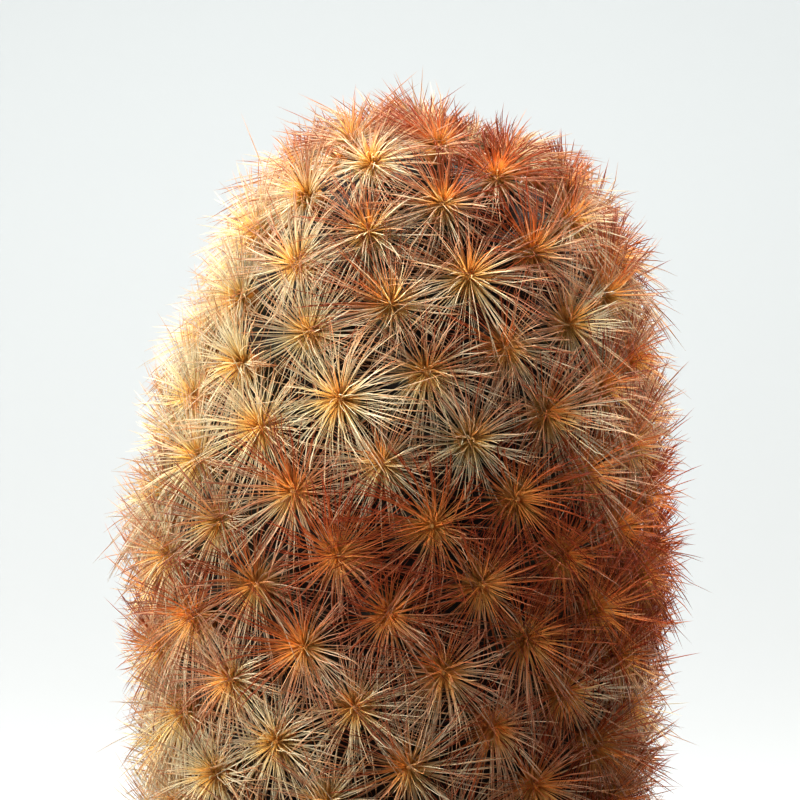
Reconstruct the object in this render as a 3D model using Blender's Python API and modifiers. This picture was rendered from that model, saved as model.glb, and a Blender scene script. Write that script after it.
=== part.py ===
"""Potted mammillaria: a columnar cactus stem with star-shaped spine clusters, in soil in a clay pot.

Metres, +Z up. The origin is on the pot's axis, at the underside of the pot. The photograph looks along +Y.
Depth means distance down the stem from its tip, and a turn angle of zero faces the photograph.
"""

import math

import bmesh
import bpy
import numpy as np
from mathutils import Matrix, Vector

# Heights above the surface that the pot stands on
TIP_Z = 0.119
SOIL_Z = 0.057
POT_HEIGHT = 0.064

# Skin of the stem, measured through the middles of the spine clusters
SKIN_RADIUS = 0.0186
SHOULDER_DEPTH = 0.0301
DOME_POWER = 1.2
DOME_ROUNDNESS = 0.26
WAIST_TAPER = 0.12
WAIST_EASE = 0.008

# Lean of the stem: its upper part leans toward +X, and all of it a little toward +Y
TIP_LEAN = 0.2513
STRAIGHT_DEPTH = 0.0419
BACK_LEAN = 0.031
BACK_EASE = 0.012

# Spiral lattice of spine clusters
CLUSTERS = 180
GOLDEN_ANGLE = math.pi * (3.0 - math.sqrt(5.0))
FIRST_TURN = 0.0731
FIRST_COUNT = 0.21
CELL_AREA = 36.1e-6
YOUNG_SHRINK = 0.6
YOUNG_COUNT = 8.0
ROWS = 13
CROWN_CLUSTERS = 21
CROWN = "crown"

# Fleshy core and the tubercles under the clusters
CORE_RINGS = 13
CORE_RING_POWER = 1.7
CORE_STEPS = 26
CORE_CLEAR_OF_SOIL = 0.003
TUBERCLE_LENGTH = 0.0047
TUBERCLE_YOUNG = 0.45
TUBERCLE_YOUNG_DEPTH = 0.004
TUBERCLE_ROOT = 0.0008
TUBERCLE_TIP_GAP = 0.00075
TUBERCLE_BASE_RADIUS = 0.0023
TUBERCLE_TIP_RADIUS = 0.0011
TUBERCLE_SIDES = 6
BASE_SHARE = 0.45
TIP_SHARE = 0.27

# Buried base of the stem
COLLAR_RADIUS = 0.0105
COLLAR_HEIGHT = 0.002
COLLAR_SLOPE = 0.0004
ROOT_RADIUS = 0.0065
ROOT_ROUND = 0.001
ROOT_Z = 0.0495

# Stars of spines
STAR_CORNERS = 12
STAR_RADIUS = 0.0036
CROWN_STAR_RADIUS = 0.0044
STAR_NOTCH = 0.74
CROWN_NOTCH = 0.9
STAR_TOP_OLD = 0.0005
STAR_TOP_YOUNG = 0.0018
STAR_BOTTOM = 0.0004
STAR_GAP = 0.00025
LINK_REACH = 0.72
NEIGHBOUR_REACH = 0.0145
RISE_OLD = 0.5
RISE_YOUNG = 0.8
RISE_COUNT = 14.0

# Clay pot
RIM_RADIUS = 0.037
RIM_HEIGHT = 0.0145
RIM_STEP = 0.0024
RIM_SLOPE = 0.0006
BASE_RADIUS = 0.0245
WALL = 0.0043
WALL_THICKENING = 0.12
FLOOR = 0.0052
DRAIN_RADIUS = 0.0055
EDGE = 0.0011
POT_STEPS = 48
FIT_GAP = 0.0003

# Soil
SOIL_DIP = 0.0008
SOIL_MOUND = 0.004

MERGE = 1e-6


def skin_radius(depth):
    """Radius of the stem through its spine clusters."""
    share = min(max(depth / SHOULDER_DEPTH, 0.0), 1.0)
    dome = (1.0 - (1.0 - share) ** DOME_POWER) ** DOME_ROUNDNESS
    below = max(depth - SHOULDER_DEPTH, 0.0)
    return SKIN_RADIUS * dome - WAIST_TAPER * below ** 2 / (below + WAIST_EASE)


def skin_normal(depth):
    """Outward and upward parts of the skin's normal."""
    step = 1e-5
    slope = (skin_radius(depth + step) - skin_radius(max(depth - step, 0.0))) / (2.0 * step)
    length = math.hypot(1.0, slope)
    return 1.0 / length, slope / length


def stem_axis(depth):
    """Point on the stem's axis, with the directions across, back and up there."""
    bent = min(depth, STRAIGHT_DEPTH)
    lean = TIP_LEAN * (1.0 - bent / STRAIGHT_DEPTH)
    x = TIP_LEAN * (STRAIGHT_DEPTH - bent) ** 2 / (2.0 * STRAIGHT_DEPTH)
    above_soil = max(TIP_Z - SOIL_Z - depth, 0.0)
    y = BACK_LEAN * (above_soil - BACK_EASE * math.log1p(above_soil / BACK_EASE))
    back_lean = BACK_LEAN * above_soil / (above_soil + BACK_EASE)
    up = Vector((math.sin(lean), back_lean, math.cos(lean))).normalized()
    across = Vector((math.cos(lean), 0.0, -math.sin(lean)))
    return Vector((x, y, TIP_Z - depth)), across, up.cross(across), up


def cluster_depths(count):
    """Depths that give each cluster its share of the skin, smaller for the youngest."""
    depth = np.concatenate([[0.0], np.geomspace(1e-6, TIP_Z - ROOT_Z, 900)])
    radius = np.array([skin_radius(value) for value in depth])
    band = math.pi * (radius[1:] + radius[:-1]) * np.hypot(np.diff(depth), np.diff(radius))
    area = np.concatenate([[0.0], np.cumsum(band)])
    number = np.arange(count) + FIRST_COUNT
    young = YOUNG_SHRINK * YOUNG_COUNT * (1.0 - np.exp(-number / YOUNG_COUNT))
    return np.interp(CELL_AREA * (number - young), area, depth)


class Cluster:
    """One spine cluster: where it sits, which way it faces and the group that it belongs to."""

    def __init__(self, index, depth):
        turn = FIRST_TURN - GOLDEN_ANGLE * index
        outward, upward = skin_normal(depth)
        origin, across, back, up = stem_axis(depth)
        radial = across * math.sin(turn) - back * math.cos(turn)
        self.index = index
        self.depth = depth
        self.centre = origin + radial * skin_radius(depth)
        self.normal = (radial * outward + up * upward).normalized()
        self.side = up.cross(radial).normalized()
        self.rise = self.normal.cross(self.side)
        self.group = CROWN if index < CROWN_CLUSTERS else index % ROWS

    def distance(self, other):
        return (other.centre - self.centre).length

    def direction(self, other):
        """Angle toward another cluster in this cluster's own plane."""
        offset = other.centre - self.centre
        return math.atan2(offset.dot(self.rise), offset.dot(self.side))

    def point(self, angle, reach, height):
        across = self.side * math.cos(angle) + self.rise * math.sin(angle)
        return self.centre + across * reach + self.normal * height


def make_material(name, colour, roughness):
    material = bpy.data.materials.new(name)
    material.use_nodes = True
    shader = material.node_tree.nodes["Principled BSDF"]
    shader.inputs["Base Color"].default_value = (*colour, 1.0)
    shader.inputs["Roughness"].default_value = roughness
    shader.inputs["Metallic"].default_value = 0.0
    return material


def new_object(name, mesh, collection, material=None):
    object_ = bpy.data.objects.new(name, mesh)
    if material:
        mesh.materials.append(material)
    collection.objects.link(object_)
    return object_


def mesh_from(solid, name):
    mesh = bpy.data.meshes.new(name)
    solid.to_mesh(mesh)
    solid.free()
    return mesh


def turned(name, profile, closed, steps, collection, material=None):
    """A profile of (radius, height) points turned about the Z axis."""
    mesh = bpy.data.meshes.new(name)
    edges = [(i, i + 1) for i in range(len(profile) - 1)]
    if closed:
        edges.append((len(profile) - 1, 0))
    mesh.from_pydata([(radius, 0.0, height) for radius, height in profile], edges, [])
    object_ = new_object(name, mesh, collection, material)
    screw = object_.modifiers.new("turn", "SCREW")
    screw.axis = "Z"
    screw.angle = 2.0 * math.pi
    screw.steps = steps
    screw.render_steps = steps
    screw.use_smooth_shade = False
    screw.use_merge_vertices = True
    screw.merge_threshold = MERGE
    return object_


def join_solids(target, others):
    """Union of an object with others that overlap it."""
    for other in others:
        union = target.modifiers.new("join", "BOOLEAN")
        union.operation = "UNION"
        union.solver = "EXACT"
        union.object = other
        other.hide_render = True
        other.display_type = "WIRE"


def round_edge(radius, height, start):
    """Quarter round of EDGE radius about a point, going clockwise from the start angle."""
    angles = [start, start - math.pi / 4.0, start - math.pi / 2.0]
    return [(radius + EDGE * math.cos(angle), height + EDGE * math.sin(angle)) for angle in angles]


def pot_outer(height):
    """Outer radius of the pot's tapered body."""
    top_radius = RIM_RADIUS - RIM_STEP - EDGE
    return BASE_RADIUS + (top_radius - BASE_RADIUS) * height / (POT_HEIGHT - RIM_HEIGHT)


def pot_inner(height):
    """Inner radius of the pot, whose wall thickens a little toward the rim."""
    growth = pot_outer(height) - BASE_RADIUS
    return BASE_RADIUS - WALL + growth * (1.0 - WALL_THICKENING)


def make_pot(collection):
    band_bottom = POT_HEIGHT - RIM_HEIGHT
    profile = round_edge(pot_inner(POT_HEIGHT) + EDGE, POT_HEIGHT - EDGE, math.pi)
    profile += round_edge(RIM_RADIUS - EDGE, POT_HEIGHT - EDGE, math.pi / 2.0)
    profile += round_edge(RIM_RADIUS - RIM_SLOPE - EDGE, band_bottom + EDGE, 0.0)
    profile += [(pot_outer(band_bottom), band_bottom - EDGE), (pot_outer(EDGE), EDGE)]
    profile += [(BASE_RADIUS - EDGE, 0.0), (DRAIN_RADIUS, 0.0), (DRAIN_RADIUS, FLOOR)]
    profile += [(pot_inner(FLOOR) - EDGE, FLOOR), (pot_inner(FLOOR + EDGE), FLOOR + EDGE)]
    clay = make_material("clay", (0.55, 0.23, 0.12), 0.85)
    return turned("pot", profile, True, POT_STEPS, collection, clay)


def make_soil(collection):
    """Soil that fills the pot up to SOIL_Z, with a socket for the buried base of the stem."""
    bottom = FLOOR + FIT_GAP
    edge_z = SOIL_Z - SOIL_DIP
    collar = COLLAR_RADIUS + FIT_GAP
    profile = [(0.0, ROOT_Z - FIT_GAP), (ROOT_RADIUS + FIT_GAP, ROOT_Z + ROOT_ROUND - FIT_GAP)]
    profile += [(collar - COLLAR_SLOPE, SOIL_Z - COLLAR_HEIGHT - FIT_GAP), (collar, SOIL_Z - FIT_GAP)]
    profile += [(collar + SOIL_MOUND, SOIL_Z), (pot_inner(edge_z) - FIT_GAP, edge_z)]
    profile += [(pot_inner(bottom + EDGE) - FIT_GAP, bottom + EDGE)]
    profile += [(pot_inner(bottom) - EDGE - FIT_GAP, bottom), (0.0, bottom)]
    earth = make_material("soil", (0.08, 0.05, 0.035), 0.95)
    return turned("soil", profile, False, POT_STEPS, collection, earth)


def tubercle_length(depth):
    return TUBERCLE_LENGTH * (1.0 - TUBERCLE_YOUNG * math.exp(-depth / TUBERCLE_YOUNG_DEPTH))


def core_profile():
    """Profile of the fleshy core, from the tip down to the end of the buried base."""
    lowest = TIP_Z - SOIL_Z - CORE_CLEAR_OF_SOIL
    points = [(0.0, -tubercle_length(0.0))]
    for ring in range(1, CORE_RINGS + 1):
        depth = lowest * (ring / CORE_RINGS) ** CORE_RING_POWER
        outward, upward = skin_normal(depth)
        length = tubercle_length(depth)
        points.append((skin_radius(depth) - length * outward, -depth - length * upward))
    points.append((COLLAR_RADIUS, SOIL_Z - TIP_Z))
    points.append((COLLAR_RADIUS - COLLAR_SLOPE, SOIL_Z - COLLAR_HEIGHT - TIP_Z))
    points.append((ROOT_RADIUS, ROOT_Z + ROOT_ROUND - TIP_Z))
    points.append((0.0, ROOT_Z - TIP_Z))
    return points


def bend_to_stem(mesh):
    """Move a straight turned core onto the leaning axis."""
    for vertex in mesh.vertices:
        origin, across, back, up = stem_axis(-vertex.co.z)
        vertex.co = origin + across * vertex.co.x + back * vertex.co.y


def nearest(points, index):
    return min((points[index] - other).length for i, other in enumerate(points) if i != index)


def make_tubercles(clusters, collection):
    """One conical tubercle under each cluster, all apart from each other."""
    tips = [cluster.centre - cluster.normal * TUBERCLE_TIP_GAP for cluster in clusters]
    roots = []
    for cluster in clusters:
        length = tubercle_length(cluster.depth) + TUBERCLE_ROOT
        roots.append(cluster.centre - cluster.normal * length)
    solid = bmesh.new()
    for i, cluster in enumerate(clusters):
        base_radius = min(TUBERCLE_BASE_RADIUS, BASE_SHARE * nearest(roots, i))
        tip_radius = min(TUBERCLE_TIP_RADIUS, TIP_SHARE * nearest(tips, i))
        facing = Matrix((cluster.side, cluster.rise, cluster.normal)).transposed().to_4x4()
        place = Matrix.Translation((roots[i] + tips[i]) / 2.0) @ facing
        bmesh.ops.create_cone(solid, cap_ends=True, segments=TUBERCLE_SIDES, radius1=base_radius,
                              radius2=tip_radius, depth=(tips[i] - roots[i]).length, matrix=place)
    return new_object("tubercles", mesh_from(solid, "tubercles"), collection)


def make_stem(clusters, collection, helpers):
    """The grown body: a bent core with its tubercles, down to the buried base."""
    straight = turned("straight_core", core_profile(), False, CORE_STEPS, helpers)
    graph = bpy.context.evaluated_depsgraph_get()
    mesh = bpy.data.meshes.new_from_object(straight.evaluated_get(graph))
    bpy.data.objects.remove(straight)
    bend_to_stem(mesh)
    stem = new_object("stem", mesh, collection, make_material("green_skin", (0.05, 0.09, 0.05), 0.5))
    join_solids(stem, [make_tubercles(clusters, helpers)])
    return stem


def star_limits(cluster, clusters):
    """What bounds a star: the direction of each neighbour and how far the star may go toward it."""
    limits = []
    for other in clusters:
        apart = cluster.distance(other)
        if other is cluster or apart > NEIGHBOUR_REACH:
            continue
        linked = other.group == cluster.group
        reach = apart * LINK_REACH if linked else apart / 2.0 - STAR_GAP
        limits.append((cluster.direction(other), reach))
    return limits


def star_reach(angle, limits, widest):
    """How far a star's corner may go at an angle."""
    reach = widest
    for direction, limit in limits:
        facing = math.cos(angle - direction)
        if facing * widest > limit:
            reach = min(reach, limit / facing)
    return reach


def row_neighbours(cluster, clusters):
    """The next and the last cluster of the same spiral row, where there is one."""
    found = []
    for index in (cluster.index + ROWS, cluster.index - ROWS):
        other = clusters[index] if 0 <= index < len(clusters) else None
        in_row = other is not None and cluster.group != CROWN and other.group == cluster.group
        found.append(other if in_row else None)
    return found


def star_corners(cluster, clusters):
    """Angle and reach of each corner: the first and the middle ones link the star into its row."""
    limits = star_limits(cluster, clusters)
    ahead, behind = row_neighbours(cluster, clusters)
    crown = cluster.group == CROWN
    widest = CROWN_STAR_RADIUS if crown else STAR_RADIUS
    notch = CROWN_NOTCH if crown else STAR_NOTCH
    half = STAR_CORNERS // 2
    start = cluster.direction(ahead) if ahead else 0.0
    if behind and not ahead:
        start = cluster.direction(behind) + math.pi
    middle = cluster.direction(behind) if behind else start + math.pi
    span = (middle - start) % (2.0 * math.pi)
    corners = []
    for corner in range(STAR_CORNERS):
        angle = start + span * min(corner, half) / half
        angle += (2.0 * math.pi - span) * max(corner - half, 0) / half
        link = {0: ahead, half: behind}.get(corner)
        if link:
            reach = LINK_REACH * cluster.distance(link)
        else:
            reach = star_reach(angle, limits, widest) * (notch if corner % 2 else 1.0)
        corners.append((angle, reach))
    return corners


def add_star(solid, cluster, clusters):
    """A shallow star, thick at its middle, whose corners rise away from the skin."""
    youth = math.exp(-cluster.index / RISE_COUNT)
    slope = RISE_OLD + (RISE_YOUNG - RISE_OLD) * youth
    top = STAR_TOP_OLD + (STAR_TOP_YOUNG - STAR_TOP_OLD) * youth
    corners = star_corners(cluster, clusters)
    made = bmesh.ops.create_uvsphere(solid, u_segments=STAR_CORNERS, v_segments=2, radius=1.0)
    for vertex in made["verts"]:
        x, y, z = vertex.co
        if abs(z) > 0.5:
            vertex.co = cluster.point(0.0, 0.0, top if z > 0.0 else -STAR_BOTTOM)
        else:
            corner = round(math.atan2(y, x) * STAR_CORNERS / (2.0 * math.pi)) % STAR_CORNERS
            angle, reach = corners[corner]
            vertex.co = cluster.point(angle, reach, slope * reach)


def apart_sets(members, apart):
    """Split clusters into sets whose stars can't touch each other."""
    sets = []
    for cluster in members:
        for group in sets:
            if all(cluster.distance(other) > apart for other in group):
                group.append(cluster)
                break
        else:
            sets.append([cluster])
    return sets


def make_stars(name, group, clusters, material, collection, helpers):
    """One solid of linked stars."""
    members = [cluster for cluster in clusters if cluster.group == group]
    layers = []
    for number, apart in enumerate(apart_sets(members, 2.0 * CROWN_STAR_RADIUS + STAR_GAP)):
        solid = bmesh.new()
        for cluster in apart:
            add_star(solid, cluster, clusters)
        bmesh.ops.recalc_face_normals(solid, faces=solid.faces)
        layers.append(mesh_from(solid, f"{name}_layer_{number}"))
    stars = new_object(name, layers[0], collection, material)
    join_solids(stars, [new_object(layer.name, layer, helpers) for layer in layers[1:]])
    return stars


def main():
    for object_ in list(bpy.data.objects):
        bpy.data.objects.remove(object_)
    parts = bpy.data.collections.new("potted_mammillaria")
    helpers = bpy.data.collections.new("helpers")
    for collection in (parts, helpers):
        bpy.context.scene.collection.children.link(collection)
    clusters = [Cluster(index, float(depth)) for index, depth in enumerate(cluster_depths(CLUSTERS))]
    cream = make_material("spine_cream", (0.72, 0.5, 0.3), 0.55)
    rust = make_material("spine_rust", (0.6, 0.25, 0.12), 0.55)
    make_pot(parts)
    make_soil(parts)
    make_stem(clusters, parts, helpers)
    make_stars("spine_crown", CROWN, clusters, rust, parts, helpers)
    for row in range(ROWS):
        make_stars(f"spine_row_{row + 1:02d}", row, clusters, cream, parts, helpers)


main()
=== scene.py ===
# The looks of a potted mammillaria: every spine of its star-shaped clusters, the stem's tubercles,
# the areoles' felt, gritty soil and a clay pot. Metres, +Z up; the photograph looks along +Y.

import math
from collections import namedtuple

import bmesh
import bpy
import numpy as np
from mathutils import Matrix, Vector, noise


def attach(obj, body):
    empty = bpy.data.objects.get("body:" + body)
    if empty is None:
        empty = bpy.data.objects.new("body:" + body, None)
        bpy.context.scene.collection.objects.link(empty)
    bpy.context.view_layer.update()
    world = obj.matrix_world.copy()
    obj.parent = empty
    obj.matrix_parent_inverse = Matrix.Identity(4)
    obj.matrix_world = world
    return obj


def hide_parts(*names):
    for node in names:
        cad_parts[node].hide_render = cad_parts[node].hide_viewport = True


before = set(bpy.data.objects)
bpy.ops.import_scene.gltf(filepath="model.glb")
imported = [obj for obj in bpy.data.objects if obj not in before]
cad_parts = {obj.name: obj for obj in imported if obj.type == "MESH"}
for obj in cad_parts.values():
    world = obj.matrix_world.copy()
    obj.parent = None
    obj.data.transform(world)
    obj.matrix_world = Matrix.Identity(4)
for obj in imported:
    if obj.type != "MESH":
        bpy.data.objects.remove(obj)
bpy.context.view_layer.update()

SEED = 11

# Heights, and the skin of the stem through the middles of the spine clusters
TIP_Z = 0.119
SOIL_Z = 0.057
ROOT_Z = 0.0495
SKIN_RADIUS = 0.0186
SHOULDER_DEPTH = 0.0301
DOME_POWER = 1.2
DOME_ROUNDNESS = 0.26
WAIST_TAPER = 0.12
WAIST_EASE = 0.008
TIP_LEAN = 0.2513
STRAIGHT_DEPTH = 0.0419
BACK_LEAN = 0.031
BACK_EASE = 0.012

# Spiral lattice of spine clusters
CLUSTERS = 180
GOLDEN_ANGLE = math.pi * (3.0 - math.sqrt(5.0))
FIRST_TURN = 0.0731
FIRST_COUNT = 0.21
CELL_AREA = 36.1e-6
YOUNG_SHRINK = 0.6
YOUNG_COUNT = 8.0
DEPTH_SAMPLES = 900
ROWS = 13
CROWN_CLUSTERS = 21

# How one cluster faces, and how much its cup, redness, red side and tone vary between clusters
CLUSTER_TILT = 0.13
CLUSTER_NOD = 0.03
CLUSTER_SPREADS = (0.07, 0.18, 1.0, 0.045)

# Spines of one cluster: their number, length, turn and lift off the skin
SPINES = 180
SPINE_LENGTH = 0.0062
REACH_SPREAD = 0.08
REACH_LIMITS = (0.85, 1.12)
LENGTH_SPREAD = 0.075
UPPER_SHORTENING = 0.05
INNER_SHARE = 0.74
INNER_LENGTH = 0.45
YOUNG_SPINES = 9.0
YOUNG_LENGTH = 0.52
TURN_SPREAD = 0.12
BUNCHES = 17
BUNCHING = 0.015
BUNCH_PHASE = 6.0
LOWEST_LIFT = math.radians(8.0)
OUTER_LIFT = math.radians(30.0)
INNER_LIFT = math.radians(42.0)
UPPER_LIFT = math.radians(8.0)
YOUNG_LIFT = math.radians(18.0)
LIFT_SPREAD = 0.06
HIGHEST_LIFT = 1.45

# Feet of the spines on the areole
AREOLE_RADIUS = 0.00044
AREOLE_DEPTH = 0.00018
YOUNG_RAISE = 0.5
INNER_FOOT = 0.3
FOOT_RISE = 0.00035

# Bends of the spines, and their thickness
RECURVE = 0.32
RECURVE_SPREAD = 0.5
SIDE_BEND = 0.28
COMBING = 0.2
DROOP = 0.1
KINKED_SHARE = 0.1
KINK_PLACES = (0.45, 0.8)
KINK_SPREAD = 0.4
SPINE_RADIUS = 0.000042
THICKNESS_LIMITS = (0.8, 1.2)
SPINE_STATIONS = np.array((0.0, 0.2, 0.5, 0.8, 1.0))
SPINE_TAPER = np.array((1.4, 1.15, 1.0, 0.78, 0.0))
SPINE_SIDES = 3

# Redness of the spines: bands of yearly growth as (strength, depth, reach, power), and the rest
RED_BASE = 0.18
RED_BANDS = ((0.31, 0.0, 0.0085, 2), (0.94, 0.032, 0.0074, 4), (0.3, 0.056, 0.006, 2))
BELT_TILT = 0.1
# Painted shade: spines redder and darker on the shaded +X side and paler cream on the lit -X side, easing
# in below the tip
PAINTED_SHADE_RED = 0.45
PAINTED_LIGHT_CREAM = 0.78
PAINTED_SHADE_EASE = 0.006
RED_ABOVE = 0.38
RED_TURN = 0.6
RED_SIDE_TURN = 0.4
INNER_RED = 0.2
RED_SPREAD = 0.22

# Tone of the spines, and how fast their colours run from foot to tip
TONE = 0.92
TONE_SPREAD = 0.12
# Partly painted light: inner spines are lighter (INNER_TONE) and stay amber further out (INNER_AMBER) so
# the cluster's middle glows
INNER_TONE = 0.12
TONE_LIMITS = (0.5, 1.2)
PACE_LIMITS = (0.8, 1.25)
INNER_AMBER = 0.7
YOUNG_COLOUR = 0.18

# Strips of the surface map, one a spine: columns against rows, and the margin round each
STRIP_COLUMNS = 2.2
STRIP_MARGIN = 0.1

# Stray hairs
STRAY_HAIRS = 70
STRAY_STATIONS = 8
STRAY_LENGTHS = (0.006, 0.008)
STRAY_LIFTS = (0.35, 0.65)
STRAY_FALLS = (0.5, 0.95)
STRAY_SWAY = 0.35
STRAY_RADIUS = 0.00003
STRAY_TAPER = 0.7
STRAY_THICKNESSES = (0.8, 1.3)
STRAY_FIRST_COLOUR = 0.28
STRAY_COLOUR_RUN = 0.4
STRAY_REDS = (0.0, 0.35)
STRAY_TONE = 1.15

# Tubercles under the clusters
TUBERCLE_LENGTH = 0.0047
TUBERCLE_YOUNG = 0.45
TUBERCLE_YOUNG_DEPTH = 0.004
TUBERCLE_TIP_GAP = 0.0009
TUBERCLE_SPREAD = 0.62
TUBERCLE_NEIGHBOURS = 4
TUBERCLE_FULLNESS = 0.6
VALLEY_SHARE = 0.75

# Stem's mesh, and its base from the collar at the soil to the buried end
STEM_RINGS = 150
STEM_STEPS = 216
STEM_SAMPLES = 4000
STEM_BLOCK = 4000
SKIN_END = 0.0015
COLLAR_RADIUS = 0.0105
COLLAR_DEPTH = 0.002
COLLAR_TAPER = 0.0004
ROOT_RADIUS = 0.0065
ROOT_ROUND = 0.001
ROOT_END = 0.0001
ROOT_END_SHARE = 0.7

# Felt pads on the areoles: a profile of (radius, height) from the hidden edge to the top
FELT_SIDES = 12
FELT_PROFILE = np.array([
    (0.0009, -0.0012), (0.00115, -0.0009), (0.0011, -0.00052), (0.00092, -0.00024),
    (0.0007, -0.00004), (0.0005, 0.00008), (0.00028, 0.00015), (0.00012, 0.00018)])
FELT_APEX = 0.0002
FELT_UNDERSIDE = -0.00115
FELT_YOUNG = 0.35
FELT_WOBBLE = 0.09
FELT_COLOURS = (0.8, 1.0)
FELT_TONE_SPREAD = 0.06

# Fine hairs round each pad
FELT_HAIRS = 14
FELT_HAIR_LIFTS = (0.35, 1.4)
FELT_HAIR_RAISE = 0.00005
FELT_HAIR_FEET = (0.0001, 0.0007)
FELT_HAIR_LENGTHS = (0.0003, 0.0008)
FELT_HAIR_CURL = 0.3
FELT_HAIR_RADII = (0.00003, 0.000026, 0.0)
FELT_HAIR_COLOURS = (0.55, 1.0)
FELT_HAIR_TONE = 0.95
FELT_HAIR_TONE_SPREAD = 0.1

# Clay pot
POT_HEIGHT = 0.064
RIM_RADIUS = 0.037
RIM_HEIGHT = 0.0145
RIM_STEP = 0.0024
RIM_SLOPE = 0.0006
BASE_RADIUS = 0.0245
WALL = 0.0043
WALL_THICKENING = 0.12
FLOOR = 0.0052
DRAIN_RADIUS = 0.0055
DRAIN_EDGE = 0.0004
EDGE = 0.0011
FOOT_ROUND_IN = 0.15
FOOT_ROUND_UP = 0.4
POT_STEPS = 160
POT_RUN = 0.0025
CLAY_WAVE = 60.0
CLAY_RIPPLE = 190.0
CLAY_UNEVENNESS = 0.00012
FIT_GAP = 0.0003

# Soil: its dip toward the pot, and the lumps of its surface as (share, noise scale)
SOIL_DIP = 0.0008
SOIL_DIP_WIDTH = 0.014
SOIL_MOUND = 0.004
SOIL_BUMP = 0.0009
SOIL_LUMPS = ((0.6, 160.0), (0.4, 480.0))
SOIL_RINGS = 34
SOIL_STEPS = 144

# Grit on the soil
BIG_GRAINS = 620
BIG_SIZES = (0.0007, 0.0017)
BIG_RAISE = 0.35
SMALL_GRAINS = 1500
SMALL_SIZES = (0.0003, 0.0006)
SMALL_RAISE = 0.2
GRAIN_SIZE_POWER = 2.2
GRAIN_TRIES = 12
GRAIN_SPACING = 0.8
GRAIN_LUMPS = 0.1
GRAIN_CUTS = 5
GRAIN_CUT_LIMITS = (0.6, 0.95)
GRAIN_STRETCHES = (0.75, 1.1)
GRAIN_TONE_SPREAD = 0.15
GRAIN_SHARP = math.radians(42.0)
GRIT_GAP = 0.0006

# Camera of the photograph: it looks along +Y, level with the upper part of the stem
CAMERA_PLACE = (0.00027, -0.2996, 0.0999)
CAMERA_LENS = 176.5
CAMERA_SENSOR = 36.0

# Stage: a flat floor that rises into a backdrop
FLOOR_COLOUR = (0.5, 0.515, 0.515, 1.0)
FLOOR_FIRST = 0.15
FLOOR_FLAT = 0.6
FLOOR_END = 2.3
FLOOR_RISE = 0.4
FLOOR_RINGS = 40
FLOOR_STEPS = 96

# Light: the sky round the stage, and lamps as (name, place, target, size, watts, colour)
SKY_COLOUR = (0.98, 0.99, 1.0, 1.0)
SKY_STRENGTH = 0.15
STEM_MIDDLE = (0.0, 0.0, 0.09)
COOL = (0.98, 1.0, 1.0)
LAMPS = (
    ("key", (-0.85, -0.06, 0.45), STEM_MIDDLE, 0.9, 18.6, (1.0, 0.98, 0.94)),
    ("fill", (-0.75, -0.45, 0.85), STEM_MIDDLE, 0.8, 1.6, (1.0, 0.98, 0.95)),
    ("top", (0.12, 0.18, 0.66), STEM_MIDDLE, 0.4, 13.2, (1.0, 0.98, 0.97)),
    ("rim", (0.3, 0.45, 0.27), STEM_MIDDLE, 0.3, 1.2, (1.0, 0.98, 0.97)),
    ("wash", (0.0, 1.0, 0.9), (0.0, 2.0, 0.32), 0.8, 7.5, COOL),
    ("side_wash", (-0.9, 0.0, 0.9), (-1.8, 0.0, 0.2), 0.8, 9.5, COOL),
    ("front_wash", (0.6, -0.8, 0.9), (1.2, -1.6, 0.2), 0.8, 3.0, COOL))

Cluster = namedtuple("Cluster", "number depth point normal side rise")


def unit(vectors):
    return vectors / np.linalg.norm(vectors, axis=-1, keepdims=True)


def swing(first, second, angle):
    """The first directions, swung toward the second by each angle."""
    return first * np.cos(angle)[..., None] + second * np.sin(angle)[..., None]


def circle(steps):
    """Evenly spaced angles of a full turn."""
    return 2.0 * math.pi * np.arange(steps) / steps


def skin_radius(depth):
    """Radius of the stem through its spine clusters, by depth below the tip."""
    share = np.clip(depth / SHOULDER_DEPTH, 0.0, 1.0)
    dome = (1.0 - (1.0 - share) ** DOME_POWER) ** DOME_ROUNDNESS
    below = np.maximum(depth - SHOULDER_DEPTH, 0.0)
    return SKIN_RADIUS * dome - WAIST_TAPER * below ** 2 / (below + WAIST_EASE)


def skin_normal(depth):
    """Outward and upward parts of the skin's normal."""
    step = 1e-5
    slope = (skin_radius(depth + step) - skin_radius(np.maximum(depth - step, 0.0))) / (2.0 * step)
    length = np.hypot(1.0, slope)
    return 1.0 / length, slope / length


def stem_axis(depth):
    """Points on the stem's axis, with the directions across, back and up there."""
    bent = np.minimum(depth, STRAIGHT_DEPTH)
    lean = TIP_LEAN * (1.0 - bent / STRAIGHT_DEPTH)
    x = TIP_LEAN * (STRAIGHT_DEPTH - bent) ** 2 / (2.0 * STRAIGHT_DEPTH)
    above_soil = np.maximum(TIP_Z - SOIL_Z - depth, 0.0)
    y = BACK_LEAN * (above_soil - BACK_EASE * np.log1p(above_soil / BACK_EASE))
    back_lean = BACK_LEAN * above_soil / (above_soil + BACK_EASE)
    up = unit(np.stack([np.sin(lean), back_lean, np.cos(lean)], -1))
    across = np.stack([np.cos(lean), 0.0 * lean, -np.sin(lean)], -1)
    return np.stack([x, y, TIP_Z - depth], -1), across, np.cross(up, across), up


def skin_frame(depth, turn):
    """Points of the skin with their normals, and the directions to the side and up along the skin."""
    outward, upward = skin_normal(depth)
    origin, across, back, up = stem_axis(depth)
    radial = swing(-back, across, turn)
    point = origin + radial * skin_radius(depth)[:, None]
    normal = unit(radial * outward[:, None] + up * upward[:, None])
    side = unit(np.cross(up, radial))
    return point, normal, side, np.cross(normal, side)


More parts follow.
